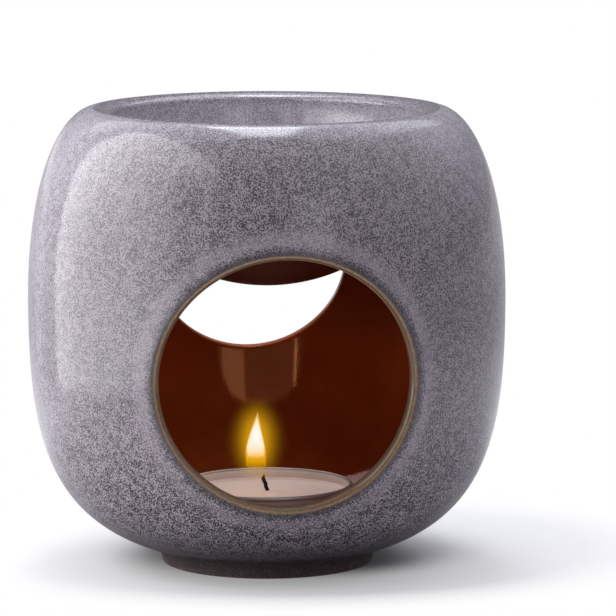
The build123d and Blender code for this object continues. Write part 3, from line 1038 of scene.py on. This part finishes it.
def pale_floor():
    """Floor that takes the burner's shadow close to it, with a painted shadow darkest round the
    foot and painted light that lifts the shadow further out, and is plain white to the camera
    further away. Rays that light the burner or that it mirrors meet a floor painted dimmer
    close by, so the underside stays in shade."""
    colours = settings().colours
    material, wires = new_material("pale_floor")
    path = wires.add("ShaderNodeLightPath").outputs
    camera = path["Is Camera Ray"]
    mirrored = wires.most(path["Is Glossy Ray"], path["Is Transmission Ray"])
    off = wires.vector("SUBTRACT", wires.here(), SHADOW_MIDDLE)[0]
    reach = wires.vector("LENGTH", wires.vector("MULTIPLY", off, SHADOW_OVAL)[0])["Value"]
    around = wires.vector("LENGTH", wires.here())["Value"]

    # painted light: white mixed in close to the burner lifts its shadow
    lifted = wires.fade(reach, 0.028, 0.047, 0.0, 0.3)
    away = wires.times(wires.most(lifted, wires.fade(reach, 0.05, 0.09)), camera)
    away = wires.most(away, wires.times(wires.fade(reach, 0.5, 1.0, 0.0, 0.24), mirrored))
    # painted shade: rays other than the camera's meet a floor dimmed close to the burner
    shaded = wires.blend(wires.fade(reach, 0.06, 0.25), toned(colours.floor, 0.42),
                         toned(colours.floor, 0.82))
    dim = wires.times(wires.fade(reach, 0.06, 0.16, 0.4, 0.78), wires.fade(reach, 0.2, 0.45, 1.0, 0.62))
    shaded = wires.blend(mirrored, shaded, wires.blend(dim, BLACK, colours.floor))
    # painted shadow: to the camera the floor is darker round the foot
    under = wires.blend(wires.fade(around, 0.024, 0.037), toned(colours.floor, 0.55), colours.floor)
    tone = wires.blend(camera, shaded, under)
    matt = wires.add("ShaderNodeBsdfDiffuse", {"Color": tone}).outputs[0]
    white = wires.add("ShaderNodeEmission", {"Color": paint(WHITE)}).outputs[0]
    both = wires.add("ShaderNodeMixShader", {0: away, 1: matt, 2: white}).outputs[0]
    wires.add("ShaderNodeOutputMaterial", {"Surface": both})
    return material


def white_world():
    """World that is white to the camera and through glass, white for gloss in one direction
    behind the burner, and for all other rays a dim room that brightens upwards and to the
    right."""
    colours = settings().colours
    world = bpy.context.scene.world or bpy.data.worlds.new("studio")
    bpy.context.scene.world = world
    world.use_nodes = True
    wires = Wiring(world.node_tree)
    path = wires.add("ShaderNodeLightPath").outputs
    ahead = wires.add("ShaderNodeTexCoord").outputs["Generated"]
    behind = wires.fade(wires.vector("DOT_PRODUCT", ahead, BACKDROP)["Value"], 0.93, 0.985)
    seen = wires.most(path["Is Camera Ray"], path["Is Transmission Ray"])
    seen = wires.most(seen, wires.times(behind, path["Is Glossy Ray"]))
    high = wires.fade(wires.vector("DOT_PRODUCT", ahead, ROOM_TOP)["Value"], 0.4, 0.92)
    tone = wires.blend(seen, wires.blend(high, colours.room, colours.ceiling), WHITE)
    strength = wires.fade(seen, 0.0, 1.0, ROOM_LEVEL, 1.0)
    light = wires.add("ShaderNodeBackground", {"Color": tone, "Strength": strength}).outputs[0]
    wires.add("ShaderNodeOutputWorld", {"Surface": light})


def put_panel(name, place, target, width, height, tint):
    """A rectangular soft lamp turned towards a point; the camera doesn't see it."""
    lamp = bpy.data.lights.new(name, "AREA")
    lamp.shape = "RECTANGLE"
    lamp.size, lamp.size_y = width, height
    lamp.energy = getattr(settings().lamps, name)
    lamp.color = tint
    panel = bpy.data.objects.new(name, lamp)
    panel.location = place
    panel.rotation_euler = (Vector(target) - Vector(place)).to_track_quat("-Z", "Y").to_euler()
    panel.visible_camera = False
    bpy.context.scene.collection.objects.link(panel)


def fade_panel(lamp):
    """Makes a panel's light fade to nothing across its width, further along near its top, and
    a hair upwards."""
    lamp.use_nodes = True
    wires = Wiring(lamp.node_tree)
    on_panel = wires.split(wires.add("ShaderNodeNewGeometry").outputs["Parametric"])
    along = wires.less(on_panel["X"], wires.fade(on_panel["Y"], 0.5, 0.9, 0.0, 0.22))
    across = wires.fade(along, 0.33, 0.88, 1.0, 0.0)
    upwards = wires.fade(on_panel["Y"], 0.0, 1.0, 0.73, 0.70)
    glow = wires.add("ShaderNodeEmission", {"Strength": wires.times(across, upwards)})
    wires.add("ShaderNodeOutputLight", {"Surface": glow.outputs[0]})


class BURNER_OT_shell(Operator):
    """Makes the glazed shell with its two windows"""
    bl_idname = "burner.shell"
    bl_label = "Glazed shell"

    def execute(self, context):
        put_piece("glazed_shell", shell_patches(settings().clay), stoneware_glaze(),
                  "burner", "speckled_grey_glaze", "body_shell")
        return {"FINISHED"}


class BURNER_OT_bowl(Operator):
    """Makes the bowl that is set into the mouth"""
    bl_idname = "burner.bowl"
    bl_label = "Oil bowl"

    def execute(self, context):
        put_piece("glazed_bowl", bowl_patches(settings().clay), stoneware_glaze(),
                  "burner", "speckled_grey_glaze", "oil_bowl")
        return {"FINISHED"}


class BURNER_OT_foot(Operator):
    """Makes the foot ring"""
    bl_idname = "burner.foot"
    bl_label = "Foot ring"

    def execute(self, context):
        put_piece("dark_foot", foot_patches(settings().clay), foot_glaze(),
                  "burner", "bare_stoneware", "foot_ring")
        return {"FINISHED"}


class BURNER_OT_cup(Operator):
    """Makes the tealight's foil cup and finishes the sustainer in it"""
    bl_idname = "burner.cup"
    bl_label = "Tealight cup"

    def execute(self, context):
        colours = settings().colours
        foil = pressed_metal("satin_foil", colours.foil, 0.36)
        put_piece("foil_cup", cup_patches(settings().tealight), foil,
                  "tealight", "cup_aluminium", "tealight_cup")
        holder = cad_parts["wick_sustainer"].data.materials
        holder.clear()
        holder.append(pressed_metal("tin_plate", colours.tin, 0.3))
        return {"FINISHED"}


class BURNER_OT_wax(Operator):
    """Makes the wax"""
    bl_idname = "burner.wax"
    bl_label = "Wax"

    def execute(self, context):
        put_piece("wax_fill", wax_patches(settings().tealight), peach_wax(),
                  "tealight", "peach_wax", "candle_wax")
        return {"FINISHED"}


class BURNER_OT_wick(Operator):
    """Makes the burnt wick"""
    bl_idname = "burner.wick"
    bl_label = "Wick"

    def execute(self, context):
        put_piece("burnt_wick", wick_patches(settings().tealight), charred_wick(),
                  "tealight", "charred_wick", "wick", mark="to_tip", sharp=70.0)
        return {"FINISHED"}


class BURNER_OT_flame(Operator):
    """Makes the skins of the flame and its light"""
    bl_idname = "burner.flame"
    bl_label = "Flame"

    def execute(self, context):
        cup = settings().tealight
        skins = [put_piece("flame_veil", veil_patches(cup), glow_veil(),
                           "tealight", "charred_wick", sharp=180.0)]
        for name, heat, cover, strength in FLAME_SKINS:
            skins.append(put_piece(name, [flame_patches(cup, heat)], flame_skin(heat, cover, strength),
                                   "tealight", "charred_wick", mark="up_flame", sharp=180.0))
        for skin in skins:
            skin.visible_shadow = False
        lamp = bpy.data.lights.new("candle_light", "POINT")
        lamp.energy = settings().lamps.candle
        lamp.color = CANDLE
        lamp.shadow_soft_size = 1.5 * MM
        light = bpy.data.objects.new("candle_light", lamp)
        light.location = (cup.flame_x, 0.0, 0.6 * cup.flame_foot_z + 0.4 * cup.flame_tip_z)
        light.visible_camera = False
        context.scene.collection.objects.link(light)
        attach(light, "tealight")
        return {"FINISHED"}


class BURNER_OT_stage(Operator):
    """Sets the floor, the world, the lamps and the camera"""
    bl_idname = "burner.stage"
    bl_label = "Stage"

    def execute(self, context):
        rings = np.linspace(0.0, FLOOR_R, 40)[:, None]
        turn = np.linspace(0.0, 2 * pi, 96, endpoint=False)
        ground = np.stack([rings * np.sin(turn), rings * np.cos(turn), 0 * rings * turn], axis=-1)
        mesh = put_mesh("floor", [(ground, 0.0)])
        mesh.materials.append(pale_floor())
        floor = bpy.data.objects.new("floor", mesh)
        context.scene.collection.objects.link(floor)
        white_world()
        for panel in PANELS:
            put_panel(*panel)
        fade_panel(bpy.data.lights["left_panel"])
        lens = bpy.data.cameras.new("camera")
        lens.sensor_width = SENSOR_MM
        lens.lens = LENS_MM
        lens.clip_end = 50.0
        camera = bpy.data.objects.new("camera", lens)
        camera.location = CAMERA_PLACE
        camera.rotation_euler = (radians(90.0 - CAMERA_DOWN), 0.0, radians(-CAMERA_RIGHT))
        context.scene.collection.objects.link(camera)
        context.scene.camera = camera
        context.scene.view_settings.view_transform = "Standard"
        return {"FINISHED"}


class BURNER_PT_panel(Panel):
    """Lists the burner's pieces and settings"""
    bl_idname = "BURNER_PT_panel"
    bl_label = "Oil burner"
    bl_space_type = "VIEW_3D"
    bl_region_type = "UI"
    bl_category = "Oil burner"

    def draw(self, context):
        layout = self.layout
        for step in STEPS:
            layout.operator(step.bl_idname)
        for part in ("clay", "tealight", "colours", "lamps"):
            box = layout.box()
            box.label(text=part.capitalize())
            values = getattr(settings(), part)
            for key in values.__annotations__:
                box.prop(values, key)


STEPS = (BURNER_OT_shell, BURNER_OT_bowl, BURNER_OT_foot, BURNER_OT_cup, BURNER_OT_wax,
         BURNER_OT_wick, BURNER_OT_flame, BURNER_OT_stage)
CLASSES = (ClaySizes, TealightSizes, FinishColours, StageLamps, OilBurner, *STEPS, BURNER_PT_panel)


def register():
    """Registers the classes and hangs the settings on the scene."""
    for each in CLASSES:
        bpy.utils.register_class(each)
    bpy.types.Scene.oil_burner = PointerProperty(
        type=OilBurner, name="Oil burner", description="Settings of the oil burner")


def unregister():
    """Undoes register."""
    del bpy.types.Scene.oil_burner
    for each in reversed(CLASSES):
        bpy.utils.unregister_class(each)


def main():
    register()
    bpy.ops.burner.shell()
    bpy.ops.burner.bowl()
    bpy.ops.burner.foot()
    bpy.ops.burner.cup()
    bpy.ops.burner.wax()
    bpy.ops.burner.wick()
    bpy.ops.burner.flame()
    bpy.ops.burner.stage()


if __name__ == "__main__":
    main()
